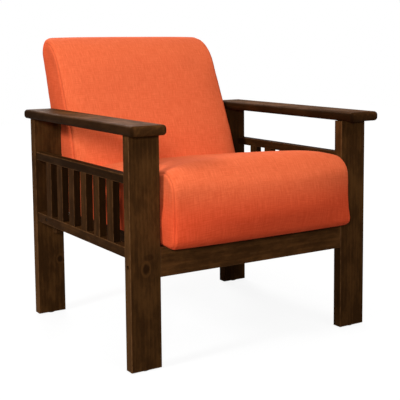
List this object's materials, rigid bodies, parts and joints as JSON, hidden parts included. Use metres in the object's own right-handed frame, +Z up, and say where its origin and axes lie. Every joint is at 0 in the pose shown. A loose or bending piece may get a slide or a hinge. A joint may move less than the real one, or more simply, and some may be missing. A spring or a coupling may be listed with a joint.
{
  "type": "armchair",
  "caption": "Low fireside armchair with slatted wooden side frames, wide arms, a tight sprung seat and a reclined upholstered back.",
  "frame": {"origin": "on the floor, at the centre of the chair's plan", "axes": "+Z up, -Y to the front of the chair, +X to the right as seen from the front"},
  "size_m": [0.728, 0.7594, 0.7843],
  "materials": {
    "stained_wood": "dark brown stain under a satin lacquer",
    "frame_wood": "sawn, bare",
    "linen": "orange slubbed plain weave",
    "lining": "black spunbonded cloth",
    "steel": "bright zinc",
    "nylon": "moulded, dark brown"
  },
  "bodies": {
    "root": {"left_front_leg": "stained_wood", "left_front_glide": "nylon", "left_rear_leg": "stained_wood", "left_rear_glide": "nylon", "left_arm": "stained_wood", "left_upper_rail": "stained_wood", "left_lower_rail": "stained_wood", "left_slat_1": "stained_wood", "left_slat_2": "stained_wood", "left_slat_3": "stained_wood", "left_slat_4": "stained_wood", "left_slat_5": "stained_wood", "left_slat_6": "stained_wood", "right_front_leg": "stained_wood", "right_front_glide": "nylon", "right_rear_leg": "stained_wood", "right_rear_glide": "nylon", "right_arm": "stained_wood", "right_upper_rail": "stained_wood", "right_lower_rail": "stained_wood", "right_slat_1": "stained_wood", "right_slat_2": "stained_wood", "right_slat_3": "stained_wood", "right_slat_4": "stained_wood", "right_slat_5": "stained_wood", "right_slat_6": "stained_wood", "front_seat_rail": "stained_wood", "rear_seat_rail": "stained_wood", "left_seat_bearer": "stained_wood", "left_front_bolt": "steel", "left_barrel_nut": "steel", "left_rear_bolt": "steel", "left_rear_insert": "steel", "right_seat_bearer": "stained_wood", "right_front_bolt": "steel", "right_barrel_nut": "steel", "right_rear_bolt": "steel", "right_rear_insert": "steel", "seat_frame_left": "frame_wood", "seat_screw_front_left": "steel", "seat_screw_rear_left": "steel", "seat_frame_right": "frame_wood", "seat_screw_front_right": "steel", "seat_screw_rear_right": "steel", "seat_frame_front": "frame_wood", "seat_spring_rail": "frame_wood", "seat_frame_rear": "frame_wood", "seat_dust_cover": "lining", "seat_spring_1": "steel", "seat_spring_2": "steel", "seat_spring_3": "steel", "back_left_stile": "frame_wood", "back_right_stile": "frame_wood", "back_top_rail": "frame_wood", "back_lower_rail": "frame_wood", "back_spring_1": "steel", "back_spring_2": "steel", "seat_cushion": "linen", "back_cushion": "linen", "back_outer_panel": "linen"}
  },
  "joints": []
}
